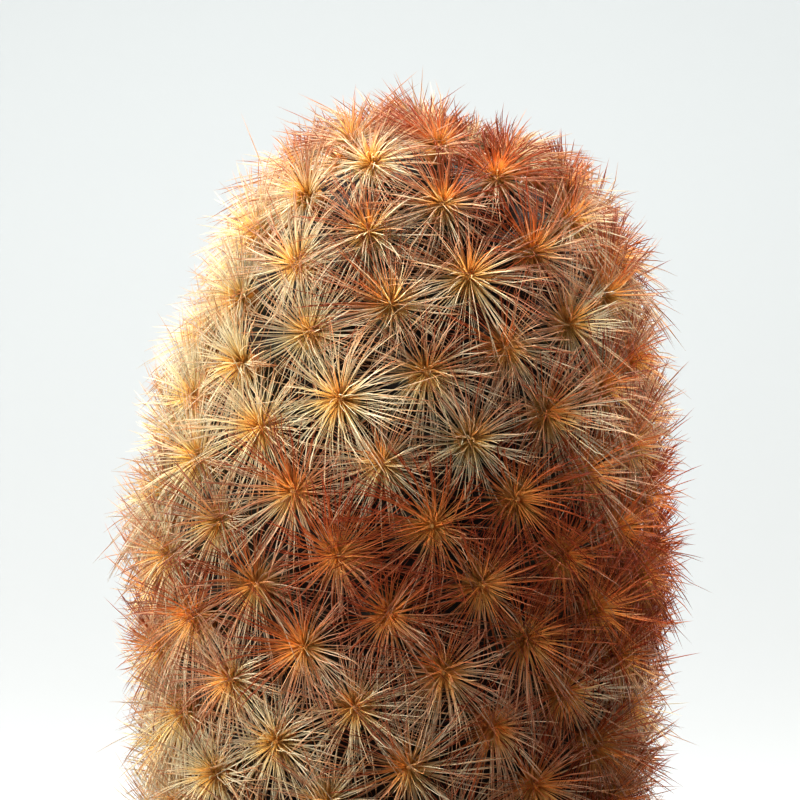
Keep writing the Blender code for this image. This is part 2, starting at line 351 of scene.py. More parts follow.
def cluster_depths():
    """Depths that give each cluster its share of the skin, smaller for the youngest."""
    depth = np.concatenate([[0.0], np.geomspace(1e-6, TIP_Z - ROOT_Z, DEPTH_SAMPLES)])
    radius = skin_radius(depth)
    band = math.pi * (radius[1:] + radius[:-1]) * np.hypot(np.diff(depth), np.diff(radius))
    area = np.concatenate([[0.0], np.cumsum(band)])
    number = np.arange(CLUSTERS) + FIRST_COUNT
    young = YOUNG_SHRINK * YOUNG_COUNT * (1.0 - np.exp(-number / YOUNG_COUNT))
    return np.interp(CELL_AREA * (number - young), area, depth)


def spiral_clusters():
    """The clusters from the youngest down, each with its depth, middle and directions."""
    depths = cluster_depths()
    turns = FIRST_TURN - GOLDEN_ANGLE * np.arange(CLUSTERS)
    return [Cluster(*parts) for parts in zip(range(CLUSTERS), depths, *skin_frame(depths, turns))]


def new_piece(name, points, sizes, corners, material):
    """A smooth mesh object from arrays: points, corners a face, and the faces' corners in order."""
    mesh = bpy.data.meshes.new(name)
    mesh.vertices.add(len(points))
    mesh.vertices.foreach_set("co", np.ascontiguousarray(points, np.float32).ravel())
    mesh.loops.add(len(corners))
    mesh.loops.foreach_set("vertex_index", np.ascontiguousarray(corners, np.int32))
    mesh.polygons.add(len(sizes))
    starts = np.concatenate([[0], np.cumsum(sizes)[:-1]])
    mesh.polygons.foreach_set("loop_start", starts.astype(np.int32))
    mesh.update(calc_edges=True)
    mesh.validate()
    mesh.shade_smooth()
    mesh.materials.append(material)
    made = bpy.data.objects.new(name, mesh)
    bpy.context.scene.collection.objects.link(made)
    return made


def add_looks(piece, values):
    """Stores three numbers for each vertex, for the material to read."""
    attribute = piece.data.attributes.new("look", "FLOAT_VECTOR", "POINT")
    attribute.data.foreach_set("vector", np.ascontiguousarray(values, np.float32).ravel())


def tube_faces(rings, sides):
    """Faces of one closed tube that ends in a point: sizes and corners."""
    sizes = []
    corners = []
    for ring in range(rings - 1):
        for side in range(sides):
            after = (side + 1) % sides
            low, high = ring * sides, (ring + 1) * sides
            corners += [low + side, low + after, high + after, high + side]
            sizes.append(4)
    tip = rings * sides
    for side in range(sides):
        corners += [tip - sides + side, tip - sides + (side + 1) % sides, tip]
        sizes.append(3)
    corners += list(range(sides))[::-1]
    sizes.append(sides)
    return np.array(sizes), np.array(corners)


def tube_strip(rings, sides, stations):
    """Flat map of one tube's corners, in the order of tube_faces, within a unit square."""
    flat = []
    for ring in range(rings - 1):
        for side in range(sides):
            low, high = stations[ring], stations[ring + 1]
            flat += [(side, low), (side + 1, low), (side + 1, high), (side, high)]
    for side in range(sides):
        flat += [(side, stations[-2]), (side + 1, stations[-2]), (side + 0.5, stations[-1])]
    flat += [(0.0, 0.0)] * sides
    return np.array(flat, float) / (sides, 1.0)


def hair_mesh(name, paths, radii, material, looks):
    """Many tubes in one mesh: for each hair its path, radii and looks, one of each a station."""
    hairs, stations = paths.shape[:2]
    rings = stations - 1
    along = unit(paths[:, -1] - paths[:, 0])
    guide = np.where(np.abs(along[:, 2:]) < 0.9, (0.0, 0.0, 1.0), (1.0, 0.0, 0.0))
    first = unit(np.cross(guide, along))
    second = np.cross(along, first)
    rim = swing(first[:, None], second[:, None], circle(SPINE_SIDES))
    ring_points = paths[:, :rings, None] + rim[:, None] * radii[:, :rings, None, None]
    points = np.concatenate([ring_points.reshape(hairs, rings * SPINE_SIDES, 3), paths[:, -1:]], 1)
    shades = np.concatenate([np.repeat(looks[:, :rings], SPINE_SIDES, 1), looks[:, -1:]], 1)
    sizes, corners = tube_faces(rings, SPINE_SIDES)
    per_hair = rings * SPINE_SIDES + 1
    all_corners = (np.arange(hairs)[:, None] * per_hair + corners[None]).ravel()
    made = new_piece(name, points.reshape(-1, 3), np.tile(sizes, hairs), all_corners, material)
    add_looks(made, shades.reshape(-1, 3))
    return made


def map_strips(piece, hairs, rings, stations):
    """Gives each tube its own narrow strip of the surface map."""
    strip = tube_strip(rings, SPINE_SIDES, stations)
    across = math.ceil(math.sqrt(hairs * STRIP_COLUMNS))
    down = math.ceil(hairs / across)
    number = np.arange(hairs)
    origin = np.stack([number % across, number // across], -1)[:, None]
    flat = (origin + STRIP_MARGIN + (1.0 - 2.0 * STRIP_MARGIN) * strip[None]) / (across, down)
    layer = piece.data.uv_layers.new(name="OFBake")
    layer.uv.foreach_set("vector", flat.astype(np.float32).ravel())


def grid_faces(rings, steps):
    """Faces of a grid of rings, closed round, and of the fans to its first and last points."""
    ring = np.arange(rings - 1)[:, None] * steps
    step = np.arange(steps)[None]
    after = (step + 1) % steps
    quads = np.stack([ring + step, ring + steps + step, ring + steps + after, ring + after], -1).ravel()
    first = rings * steps
    last = first - steps
    turn = np.arange(steps)
    beyond = (turn + 1) % steps
    top = np.stack([np.full(steps, first), turn, beyond], -1).ravel()
    bottom = np.stack([np.full(steps, first + 1), last + beyond, last + turn], -1).ravel()
    sizes = np.concatenate([np.full((rings - 1) * steps, 4), np.full(2 * steps, 3)])
    return sizes, np.concatenate([quads, top, bottom])


def turned(name, profile, steps, material, closed=False):
    """A profile of (radius, height) points turned about the Z axis, running from the axis outward."""
    points = []
    rings = []
    for radius, height in profile:
        if radius == 0.0:
            rings.append([len(points)] * steps)
            points.append((0.0, 0.0, height))
            continue
        rings.append(list(range(len(points), len(points) + steps)))
        points += [(radius * math.cos(a), radius * math.sin(a), height) for a in circle(steps)]
    sizes = []
    corners = []
    pairs = list(zip(rings, rings[1:]))
    if closed:
        pairs.append((rings[-1], rings[0]))
    for inner, outer in pairs:
        for step in range(steps):
            after = (step + 1) % steps
            face = [inner[step], outer[step], outer[after], inner[after]]
            face = [corner for i, corner in enumerate(face) if corner != face[i - 1]]
            corners += face
            sizes.append(len(face))
    return new_piece(name, np.array(points), np.array(sizes), np.array(corners), material)


class Nodes:
    """Short calls that add nodes to a material and link them."""

    def __init__(self, name):
        self.material = bpy.data.materials.new(name)
        self.material.use_nodes = True
        self.tree = self.material.node_tree
        self.shader = self.tree.nodes["Principled BSDF"]
        self.output = self.tree.nodes["Material Output"]

    def add(self, kind, inputs=(), **settings):
        made = self.tree.nodes.new(kind)
        for key, value in settings.items():
            setattr(made, key, value)
        for key, value in dict(inputs).items():
            self.set(made.inputs[key], value)
        return made

    def set(self, socket, value):
        if isinstance(value, bpy.types.NodeSocket):
            self.tree.links.new(value, socket)
        else:
            socket.default_value = value

    def math(self, operation, first, second):
        return self.add("ShaderNodeMath", {0: first, 1: second}, operation=operation).outputs[0]

    def mix(self, share, first, second, blend="MIX"):
        made = self.add("ShaderNodeMix", data_type="RGBA", blend_type=blend)
        self.set(made.inputs["Factor"], share)
        self.set(made.inputs[6], first)
        self.set(made.inputs[7], second)
        return made.outputs[2]

    def times(self, first, second):
        return self.mix(1.0, first, second, "MULTIPLY")

    def toned(self, colour, tone):
        """A colour times one number."""
        grey = self.add("ShaderNodeCombineXYZ", {0: tone, 1: tone, 2: tone}).outputs[0]
        return self.times(colour, grey)

    def ramp(self, share, stops, blend="LINEAR"):
        """Colours by position: stops are (position, (r, g, b))."""
        made = self.add("ShaderNodeValToRGB", {0: share})
        made.color_ramp.interpolation = blend
        elements = made.color_ramp.elements
        while len(elements) < len(stops):
            elements.new(0.5)
        for element, (position, colour) in zip(elements, stops):
            element.position = position
            element.color = (*colour, 1.0)
        return made.outputs["Color"]

    def noise(self, place, scale, detail, roughness):
        made = self.add("ShaderNodeTexNoise", {
            "Vector": place, "Scale": scale, "Detail": detail, "Roughness": roughness})
        return made.outputs["Fac"]

    def place(self):
        return self.add("ShaderNodeTexCoord").outputs["Object"]

    def look(self):
        """The three numbers that add_looks stores."""
        stored = self.add("ShaderNodeAttribute", attribute_name="look", attribute_type="GEOMETRY")
        return self.add("ShaderNodeSeparateXYZ", {0: stored.outputs["Vector"]}).outputs

    def surface(self, colour, roughness, specular):
        self.set(self.shader.inputs["Base Color"], colour)
        self.shader.inputs["Roughness"].default_value = roughness
        self.shader.inputs["Specular IOR Level"].default_value = specular

    def bump(self, strength, distance, height):
        made = self.add("ShaderNodeBump", {"Strength": strength, "Distance": distance, "Height": height})
        self.set(self.shader.inputs["Normal"], made.outputs[0])


def spine_material():
    """Glassy spines: amber at the foot, straw or orange along, and rust toward the tip. The foot's amber
    is the spines' own hue, set as bright as it goes as painted light for the glow through the packed feet.
    """
    nodes = Nodes("spine")
    along, red, tone = nodes.look()
    # The first stops of both ramps are the full-brightness amber of the feet: own hue, brightness painted
    # light
    cream = nodes.ramp(along, [
        (0.0, (1.0, 0.72, 0.27)), (0.15, (1.0, 0.77, 0.35)), (0.28, (0.93, 0.81, 0.54)),
        (0.56, (0.91, 0.84, 0.65)), (0.78, (0.82, 0.57, 0.32)), (1.0, (0.58, 0.23, 0.09))])
    rust = nodes.ramp(along, [
        (0.0, (1.0, 0.64, 0.24)), (0.12, (1.0, 0.6, 0.2)), (0.3, (0.76, 0.31, 0.1)),
        (0.52, (0.57, 0.165, 0.052)), (0.76, (0.45, 0.096, 0.034)), (1.0, (0.31, 0.055, 0.022))])
    colour = nodes.toned(nodes.mix(red, cream, rust), tone)
    nodes.surface(colour, roughness=0.42, specular=0.3)
    light_through = 0.45
    glow = nodes.add("ShaderNodeBsdfTranslucent", {"Color": colour})
    both = nodes.add("ShaderNodeMixShader", {
        0: light_through, 1: nodes.shader.outputs[0], 2: glow.outputs[0]})
    nodes.set(nodes.output.inputs["Surface"], both.outputs[0])
    return nodes.material


def skin_material():
    """Skin that is dark olive on the tubercles, with painted shade that darkens it to nearly black between
    them.
    """
    nodes = Nodes("skin")
    height = nodes.look()[0]
    skin_and_valley_shade = nodes.ramp(height, [
        (0.0, (0.02, 0.012, 0.012)), (0.45, (0.032, 0.024, 0.021)), (0.8, (0.046, 0.046, 0.026)),
        (1.0, (0.07, 0.067, 0.032))])
    place = nodes.place()
    blotch = nodes.ramp(nodes.noise(place, scale=420.0, detail=3.0, roughness=0.6), [
        (0.35, (0.6, 0.6, 0.75)), (0.65, (1.3, 1.25, 1.1))])
    speck = nodes.ramp(nodes.noise(place, scale=2600.0, detail=1.0, roughness=0.5), [
        (0.62, (1.0, 1.0, 1.0)), (0.7, (1.9, 1.9, 1.5))])
    nodes.surface(nodes.times(nodes.times(skin_and_valley_shade, blotch), speck), roughness=0.65, specular=0.25)
    nodes.bump(0.25, 0.0002, nodes.noise(place, scale=1500.0, detail=2.0, roughness=0.5))
    return nodes.material


def felt_material():
    """Felt of an areole with painted light and shade: the dark brown edge is painted shade under the
    spines, the amber between is painted glow standing for light through the spines' feet, and the pale
    middle is the felt's own.
    """
    nodes = Nodes("felt_and_painted_glow")
    inward, unused, tone = nodes.look()
    felt_and_painted_glow = nodes.ramp(inward, [
        (0.0, (0.3, 0.12, 0.035)), (0.18, (0.75, 0.36, 0.09)), (0.32, (1.0, 0.56, 0.15)),
        (0.78, (1.0, 0.58, 0.2)), (0.96, (0.95, 0.58, 0.3))])
    nodes.surface(nodes.toned(felt_and_painted_glow, tone), roughness=0.9, specular=0.2)
    return nodes.material


def clay_material():
    """Fired clay: orange-brown, mottled, with pores all over and lime bloom, most of it low down."""
    nodes = Nodes("terracotta")
    place = nodes.place()
    height = nodes.add("ShaderNodeSeparateXYZ", {0: place}).outputs[2]
    stretch = nodes.add("ShaderNodeVectorMath", {0: place, 1: (1.0, 1.0, 5.0)}, operation="MULTIPLY")
    cloud = nodes.noise(place, scale=45.0, detail=5.0, roughness=0.6)
    streak = nodes.noise(stretch.outputs[0], scale=60.0, detail=3.0, roughness=0.55)
    grain = nodes.noise(place, scale=1400.0, detail=2.0, roughness=0.6)
    patch = nodes.noise(place, scale=70.0, detail=6.0, roughness=0.68)
    clay = nodes.ramp(cloud, [
        (0.3, (0.17, 0.056, 0.027)), (0.5, (0.24, 0.084, 0.042)), (0.7, (0.3, 0.118, 0.064))])
    bands = nodes.ramp(streak, [(0.35, (0.86, 0.84, 0.82)), (0.65, (1.1, 1.08, 1.06))])
    specks = nodes.ramp(grain, [
        (0.3, (0.72, 0.7, 0.68)), (0.45, (1.0, 1.0, 1.0)), (0.72, (1.12, 1.12, 1.12))])
    clay = nodes.times(nodes.times(clay, bands), specks)
    low = nodes.add("ShaderNodeMapRange", {"Value": height, "From Min": 0.03, "From Max": 0.0})
    low_share = 0.16
    bloom = nodes.math("ADD", nodes.math("MULTIPLY", low.outputs[0], low_share), patch)
    bloom = nodes.ramp(bloom, [(0.54, (0.0, 0.0, 0.0)), (0.8, (0.4, 0.4, 0.4))])
    lime = (0.42, 0.36, 0.31, 1.0)
    nodes.surface(nodes.mix(bloom, clay, lime), roughness=0.88, specular=0.3)
    nodes.bump(0.35, 0.0003, grain)
    return nodes.material


def soil_material():
    """Damp, dark potting mix."""
    nodes = Nodes("potting_mix")
    crumb = nodes.noise(nodes.place(), scale=900.0, detail=4.0, roughness=0.65)
    colour = nodes.ramp(crumb, [
        (0.3, (0.012, 0.008, 0.006)), (0.5, (0.04, 0.024, 0.015)), (0.62, (0.085, 0.052, 0.032)),
        (0.75, (0.16, 0.11, 0.07))])
    nodes.surface(colour, roughness=0.95, specular=0.25)
    nodes.bump(0.8, 0.0006, crumb)
    return nodes.material


def grit_material():
    """Grit of several stones: each grain's kind picks its colour, which varies over it."""
    nodes = Nodes("grit")
    kind, tone, unused = nodes.look()
    stone = nodes.ramp(kind, [
        (0.0, (0.5, 0.45, 0.37)), (0.26, (0.36, 0.2, 0.1)), (0.48, (0.16, 0.05, 0.032)),
        (0.66, (0.05, 0.034, 0.026)), (0.84, (0.28, 0.26, 0.24))], "CONSTANT")
    pores = nodes.noise(nodes.place(), scale=2200.0, detail=3.0, roughness=0.6)
    mottle = nodes.ramp(pores, [
        (0.32, (0.5, 0.47, 0.44)), (0.5, (1.0, 1.0, 1.0)), (0.7, (1.25, 1.25, 1.25))])
    nodes.surface(nodes.toned(nodes.times(stone, mottle), tone), roughness=0.9, specular=0.3)
    nodes.bump(0.5, 0.0002, pores)
    return nodes.material


def tubercle_length(depth):
    return TUBERCLE_LENGTH * (1.0 - TUBERCLE_YOUNG * np.exp(-depth / TUBERCLE_YOUNG_DEPTH))


def tubercle_heights(points, centres):
    """How high each point is on its nearest tubercle: 0 in a valley and 1 under an areole."""
    apart = np.linalg.norm(centres[:, None] - centres[None], axis=-1)
    apart[apart == 0.0] = 1.0
    reach = TUBERCLE_SPREAD * np.sort(apart, 1)[:, :TUBERCLE_NEIGHBOURS].mean(1)
    heights = np.zeros(len(points))
    for start in range(0, len(points), STEM_BLOCK):
        block = slice(start, start + STEM_BLOCK)
        away = np.linalg.norm(points[block, None] - centres[None], axis=-1) / reach[None]
        cones = 0.5 * (1.0 + np.cos(math.pi * np.minimum(away, 1.0)))
        heights[block] = (cones ** TUBERCLE_FULLNESS).max(1)
    return heights


def stem_base(turns):
    """Rings of the stem's base, from the collar at the soil down to the buried end."""
    rings = []
    for height, radius in (
            (SOIL_Z, COLLAR_RADIUS), (SOIL_Z - COLLAR_DEPTH, COLLAR_RADIUS - COLLAR_TAPER),
            (ROOT_Z + ROOT_ROUND, ROOT_RADIUS), (ROOT_Z + ROOT_END, ROOT_END_SHARE * ROOT_RADIUS)):
        origin, across, back = stem_axis(np.array([TIP_Z - height]))[:3]
        rings.append(origin + swing(-back, across, turns) * radius)
    return rings


def make_stem(clusters):
    """The stem's skin: tubercles that rise from the core to each areole, down to the buried base."""
    table = np.linspace(0.0, TIP_Z - SOIL_Z - SKIN_END, STEM_SAMPLES)
    length = np.concatenate([[0.0], np.cumsum(np.hypot(np.diff(table), np.diff(skin_radius(table))))])
    ring_depths = np.interp(np.linspace(0.0, length[-1], STEM_RINGS + 1)[1:], length, table)
    turns = circle(STEM_STEPS)
    depth, turn = (grid.ravel() for grid in np.meshgrid(ring_depths, turns, indexing="ij"))
    point, normal = skin_frame(depth, turn)[:2]
    height = tubercle_heights(point, np.array([cluster.point for cluster in clusters]))
    valley = VALLEY_SHARE * tubercle_length(depth) - TUBERCLE_TIP_GAP
    point = point - normal * (TUBERCLE_TIP_GAP + valley * (1.0 - height))[:, None]
    base = stem_base(turns)
    top = stem_axis(tubercle_length(np.zeros(1)))[0]
    bottom = stem_axis(np.array([TIP_Z - ROOT_Z]))[0]
    points = np.concatenate([point, *base, top, bottom])
    sizes, corners = grid_faces(STEM_RINGS + len(base), STEM_STEPS)
    piece = new_piece("stem_skin", points, sizes, corners, skin_material())
    looks = np.zeros((len(points), 3))
    # Tubercle heights, which the skin material turns into painted shade toward the valleys
    looks[:len(height), 0] = height
    add_looks(piece, looks)
    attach(piece, "root")
    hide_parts("stem")


def make_felt_pads(clusters, material, rng):
    """A small felted pad on every areole, whose amber is painted glow round the spines' feet and whose
    dark edge is painted shade.
    """
    profile = FELT_PROFILE[::-1]
    radius, height = profile[:, 0, None, None], profile[:, 1, None, None]
    inward = np.repeat(1.0 - profile[:, 0] / profile[:, 0].max(), FELT_SIDES)
    sizes, corners = grid_faces(len(profile), FELT_SIDES)
    points = []
    looks = []
    for cluster in clusters:
        size = 1.0 - FELT_YOUNG * math.exp(-cluster.number / YOUNG_SPINES)
        wobble = 1.0 + rng.normal(0.0, FELT_WOBBLE, (len(profile), FELT_SIDES, 1))
        flat = swing(cluster.side, cluster.rise, -circle(FELT_SIDES))
        rings = cluster.point + (radius * size * flat + cluster.normal * height) * wobble
        ends = cluster.point + cluster.normal * np.array([[FELT_APEX], [FELT_UNDERSIDE]])
        points.append(np.concatenate([rings.reshape(-1, 3), ends]))
        look = np.zeros((len(points[-1]), 3))
        # Colour runs inward from painted shade at the edge, through painted amber glow, to the pale felt
        # in the middle
        look[:, 0] = np.concatenate([inward, [1.0, 0.0]]) * rng.uniform(*FELT_COLOURS)
        look[:, 2] = rng.normal(1.0, FELT_TONE_SPREAD)
        looks.append(look)
    starts = np.arange(len(clusters))[:, None] * len(points[0])
    piece = new_piece("areole_felt_painted_glow", np.concatenate(points), np.tile(sizes, len(clusters)),
                      (starts + corners[None]).ravel(), material)
    add_looks(piece, np.concatenate(looks))
    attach(piece, "root")


def make_felt_hairs(clusters, material, rng):
    """Fine hairs round the pads."""
    paths = []
    for cluster in clusters:
        turn = rng.uniform(0.0, 2.0 * math.pi, FELT_HAIRS)
        lift = rng.uniform(*FELT_HAIR_LIFTS, FELT_HAIRS)
        flat = swing(cluster.side, cluster.rise, turn)
        foot = cluster.point + FELT_HAIR_RAISE * cluster.normal
        foot = foot + flat * rng.uniform(*FELT_HAIR_FEET, (FELT_HAIRS, 1))
        heading = swing(flat, cluster.normal, lift)
        curl = unit(rng.normal(size=(FELT_HAIRS, 3)))
        length = rng.uniform(*FELT_HAIR_LENGTHS, (FELT_HAIRS, 1))
        middle = foot + 0.5 * length * heading
        paths.append(np.stack([foot, middle, foot + length * (heading + FELT_HAIR_CURL * curl)], 1))
    paths = np.concatenate(paths)
    radii = np.tile(FELT_HAIR_RADII, (len(paths), 1))
    looks = np.ones((len(paths), len(FELT_HAIR_RADII), 3))
    looks[..., 0] = rng.uniform(*FELT_HAIR_COLOURS, len(paths))[:, None]
    looks[..., 2] = rng.normal(FELT_HAIR_TONE, FELT_HAIR_TONE_SPREAD, len(paths))[:, None]
    piece = hair_mesh("areole_hairs", paths, radii, material, looks)
    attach(piece, "root")


def make_stray_hairs(clusters, material):
    """Long, thin and pale spines here and there that arch over the neighbouring clusters."""
    rng = np.random.default_rng(SEED + 3)
    stations = np.linspace(0.0, 1.0, STRAY_STATIONS)
    paths = []
    for number in rng.choice(np.arange(CROWN_CLUSTERS, CLUSTERS), STRAY_HAIRS):
        cluster = clusters[number]
        turn = rng.uniform(0.0, 2.0 * math.pi)
        lift = rng.uniform(*STRAY_LIFTS)
        flat = swing(cluster.side, cluster.rise, turn)
        heading = swing(flat, cluster.normal, lift)
        bend = -cluster.normal * rng.uniform(*STRAY_FALLS)
        bend = bend + np.cross(cluster.normal, flat) * rng.normal(0.0, STRAY_SWAY)
        path = heading * stations[:, None] + 0.5 * bend * stations[:, None] ** 2
        paths.append(cluster.point - cluster.normal * AREOLE_DEPTH + rng.uniform(*STRAY_LENGTHS) * path)
    paths = np.array(paths)
    thickness = rng.uniform(*STRAY_THICKNESSES, (len(paths), 1))
    radii = STRAY_RADIUS * (1.0 - STRAY_TAPER * stations ** 2) * thickness
    looks = np.empty((len(paths), len(stations), 3))
    looks[..., 0] = STRAY_FIRST_COLOUR + STRAY_COLOUR_RUN * stations[None]
    looks[..., 1] = rng.uniform(*STRAY_REDS, (len(paths), 1))
    looks[..., 2] = STRAY_TONE
    piece = hair_mesh("stray_hairs", paths, radii, material, looks)
    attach(piece, "root")


def pot_outer(height):
    top_radius = RIM_RADIUS - RIM_STEP - EDGE
    return BASE_RADIUS + (top_radius - BASE_RADIUS) * height / (POT_HEIGHT - RIM_HEIGHT)


def pot_inner(height):
    growth = pot_outer(height) - BASE_RADIUS
    return BASE_RADIUS - WALL + growth * (1.0 - WALL_THICKENING)


def arc(radius, height, start, bends=5, size=EDGE):
    """Quarter round about a point, going clockwise from the start angle."""
    angles = start - np.linspace(0.0, math.pi / 2.0, bends)
    return [(radius + size * math.cos(a), height + size * math.sin(a)) for a in angles]


def run(start, end, count):
    """Points between two profile points, without the ends."""
    shares = np.linspace(0.0, 1.0, count + 2)[1:-1]
    return [(start[0] + (end[0] - start[0]) * s, start[1] + (end[1] - start[1]) * s) for s in shares]


def make_pot(material):
    """The pot with its rim band, turned, and a little uneven as fired clay is."""
    band = POT_HEIGHT - RIM_HEIGHT
    foot_round = (pot_outer(EDGE / 2.0) - FOOT_ROUND_IN * EDGE, FOOT_ROUND_UP * EDGE)
    corners = [
        arc(pot_inner(POT_HEIGHT) + EDGE, POT_HEIGHT - EDGE, math.pi),
        arc(RIM_RADIUS - EDGE, POT_HEIGHT - EDGE, math.pi / 2.0),
        arc(RIM_RADIUS - RIM_SLOPE - EDGE, band + EDGE, 0.0),
        [(pot_outer(band), band - EDGE)],
        [(pot_outer(EDGE), EDGE), foot_round, (BASE_RADIUS - EDGE, 0.0)],
        arc(DRAIN_RADIUS + DRAIN_EDGE, DRAIN_EDGE, -math.pi / 2.0, 3, DRAIN_EDGE),
        [(DRAIN_RADIUS, FLOOR)],
        [(pot_inner(FLOOR) - EDGE, FLOOR), (pot_inner(FLOOR + EDGE), FLOOR + EDGE)]]
    profile = []
    for i, points in enumerate(corners):
        before = corners[i - 1][-1]
        profile += run(before, points[0], int(math.dist(before, points[0]) / POT_RUN))
        profile += points
    piece = turned("clay_pot", profile, POT_STEPS, material, closed=True)
    for vertex in piece.data.vertices:
        radius = vertex.co.xy.length
        if radius > BASE_RADIUS:
            wave = noise.noise(vertex.co * CLAY_WAVE) + 0.5 * noise.noise(vertex.co * CLAY_RIPPLE)
            vertex.co.xy *= 1.0 - CLAY_UNEVENNESS * (1.0 + wave) / radius
    piece.data.update()
    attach(piece, "root")
    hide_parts("pot")


def soil_top(x, y):
    """Height of the soil's surface."""
    past_mound = max(math.hypot(x, y) - COLLAR_RADIUS - SOIL_MOUND, 0.0)
    place = Vector((x, y, 0.0))
    rough = sum(share * noise.noise(place * scale) for share, scale in SOIL_LUMPS)
    return SOIL_Z - SOIL_DIP * past_mound / SOIL_DIP_WIDTH + SOIL_BUMP * rough


def make_soil(material):
    """The soil's body, with a crumbly top and a socket for the buried base of the stem."""
    bottom = FLOOR + FIT_GAP
    collar = COLLAR_RADIUS + FIT_GAP
    socket = [
        (0.0, ROOT_Z - FIT_GAP), (ROOT_RADIUS + FIT_GAP, ROOT_Z + ROOT_ROUND - FIT_GAP),
        (collar - COLLAR_TAPER, SOIL_Z - COLLAR_DEPTH - FIT_GAP), (collar, SOIL_Z - 2.0 * FIT_GAP)]
    edge = pot_inner(SOIL_Z - SOIL_DIP) - FIT_GAP
    top = [(radius, SOIL_Z) for radius in np.linspace(collar + FIT_GAP, edge, SOIL_RINGS)]
    side = [(pot_inner(bottom + EDGE) - FIT_GAP, bottom + EDGE)]
    side += [(pot_inner(bottom) - EDGE - FIT_GAP, bottom), (0.0, bottom)]
    piece = turned("soil_body", socket + top + side, SOIL_STEPS, material)
    first = 1 + (len(socket) - 1) * SOIL_STEPS
    for vertex in piece.data.vertices[first:first + SOIL_RINGS * SOIL_STEPS]:
        vertex.co.z = soil_top(vertex.co.x, vertex.co.y)
    piece.data.update()
    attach(piece, "root")
    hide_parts("soil")


def grain_solid(subdivisions):
    """Points and triangles of a unit grain."""
    solid = bmesh.new()
    bmesh.ops.create_icosphere(solid, subdivisions=subdivisions, radius=1.0)
    points = np.array([vertex.co[:] for vertex in solid.verts])
    faces = np.array([[vertex.index for vertex in face.verts] for face in solid.faces])
    solid.free()
    return points, faces


def grain_place(size, placed, rng):
    """A place on the soil clear of the grains that are placed, or None after too many tries."""
    inner = COLLAR_RADIUS + GRIT_GAP
    outer = pot_inner(SOIL_Z) - FIT_GAP
    for attempt in range(GRAIN_TRIES):
        radius = math.sqrt(rng.uniform((inner + size) ** 2, (outer - size) ** 2))
        angle = rng.uniform(0.0, 2.0 * math.pi)
        x, y = radius * math.cos(angle), radius * math.sin(angle)
        if all(math.hypot(x - a, y - b) > GRAIN_SPACING * (size + c) for a, b, c in placed):
            return x, y
    return None


def grain_points(solid, size, rng):
    """Points of one lumpy grain with flat cuts, turned any way, about its own middle."""
    grain = solid * (1.0 + rng.normal(0.0, GRAIN_LUMPS, (len(solid), 1)))
    cuts = unit(rng.normal(size=(GRAIN_CUTS, 3)))
    for cut, limit in zip(cuts, rng.uniform(*GRAIN_CUT_LIMITS, GRAIN_CUTS)):
        over = np.maximum(grain @ cut - limit, 0.0)
        grain = grain - over[:, None] * cut
    spin = np.linalg.qr(rng.normal(size=(3, 3)))[0]
    spin[:, 0] *= np.sign(np.linalg.det(spin))
    return (grain * rng.uniform(*GRAIN_STRETCHES, 3)) @ spin.T * size


def make_grit(material):
    """Grains of pumice, clay, lava, bark and quartz that lie on the soil."""
    rng = np.random.default_rng(SEED + 2)
    placed = []
    points = []
    looks = []
    faces = []
    count = 0
    for big, number, (least, most), part_above in (
            (True, BIG_GRAINS, BIG_SIZES, BIG_RAISE), (False, SMALL_GRAINS, SMALL_SIZES, SMALL_RAISE)):
        solid, triangles = grain_solid(2 if big else 1)
        for i in range(number):
            size = least + (most - least) * rng.random() ** GRAIN_SIZE_POWER
            place = grain_place(size, placed if big else (), rng)
            if place is None:
                continue
            if big:
                placed.append((*place, size))
            middle = (*place, soil_top(*place) + size * part_above)
            points.append(grain_points(solid, size, rng) + middle)
            look = np.zeros((len(solid), 3))
            look[:, 0] = rng.random()
            look[:, 1] = rng.normal(1.0, GRAIN_TONE_SPREAD)
            looks.append(look)
            faces.append(triangles + count)
            count += len(solid)
    faces = np.concatenate(faces)
    piece = new_piece("soil_grit", np.concatenate(points), np.full(len(faces), 3), faces.ravel(), material)
    piece.data.set_sharp_from_angle(angle=GRAIN_SHARP)
    add_looks(piece, np.concatenate(looks))
    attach(piece, "root")


def redness(depth, x):
    """How rusty a cluster is by its place: the year's band, plus painted shade that makes the shaded side
    redder and the lit side paler.
    """
    painted_shade = (PAINTED_SHADE_RED if x > 0.0 else PAINTED_LIGHT_CREAM) * x / SKIN_RADIUS * (1.0 - math.exp(-depth / PAINTED_SHADE_EASE))
    red = RED_BASE + painted_shade
    for strength, middle, reach, power in RED_BANDS:
        red += strength * math.exp(-((depth + BELT_TILT * x - middle) / reach) ** power)
    return red


def bent_paths(heading, flat, normal, side, rise, rng):
    """Paths of unit length that curve back, sway and droop, and here and there kink."""
    bend = -RECURVE * (1.0 + RECURVE_SPREAD * rng.normal(size=SPINES))[:, None] * normal
    bend = bend + np.cross(normal, flat) * rng.normal(0.0, SIDE_BEND, SPINES)[:, None]
    bend = bend + side * rng.normal(0.0, COMBING) + rise * (rng.normal(0.0, COMBING) - DROOP)
    kinked = rng.random(SPINES) < KINKED_SHARE
    kink_at = rng.uniform(*KINK_PLACES, SPINES)
    kink = rng.normal(0.0, KINK_SPREAD, (SPINES, 3)) * kinked[:, None]
    past_kink = np.maximum(SPINE_STATIONS[None] - kink_at[:, None], 0.0)
    paths = heading[:, None] * SPINE_STATIONS[None, :, None]
    paths = paths + 0.5 * bend[:, None] * (SPINE_STATIONS ** 2)[None, :, None]
    return paths + kink[:, None] * past_kink[..., None]


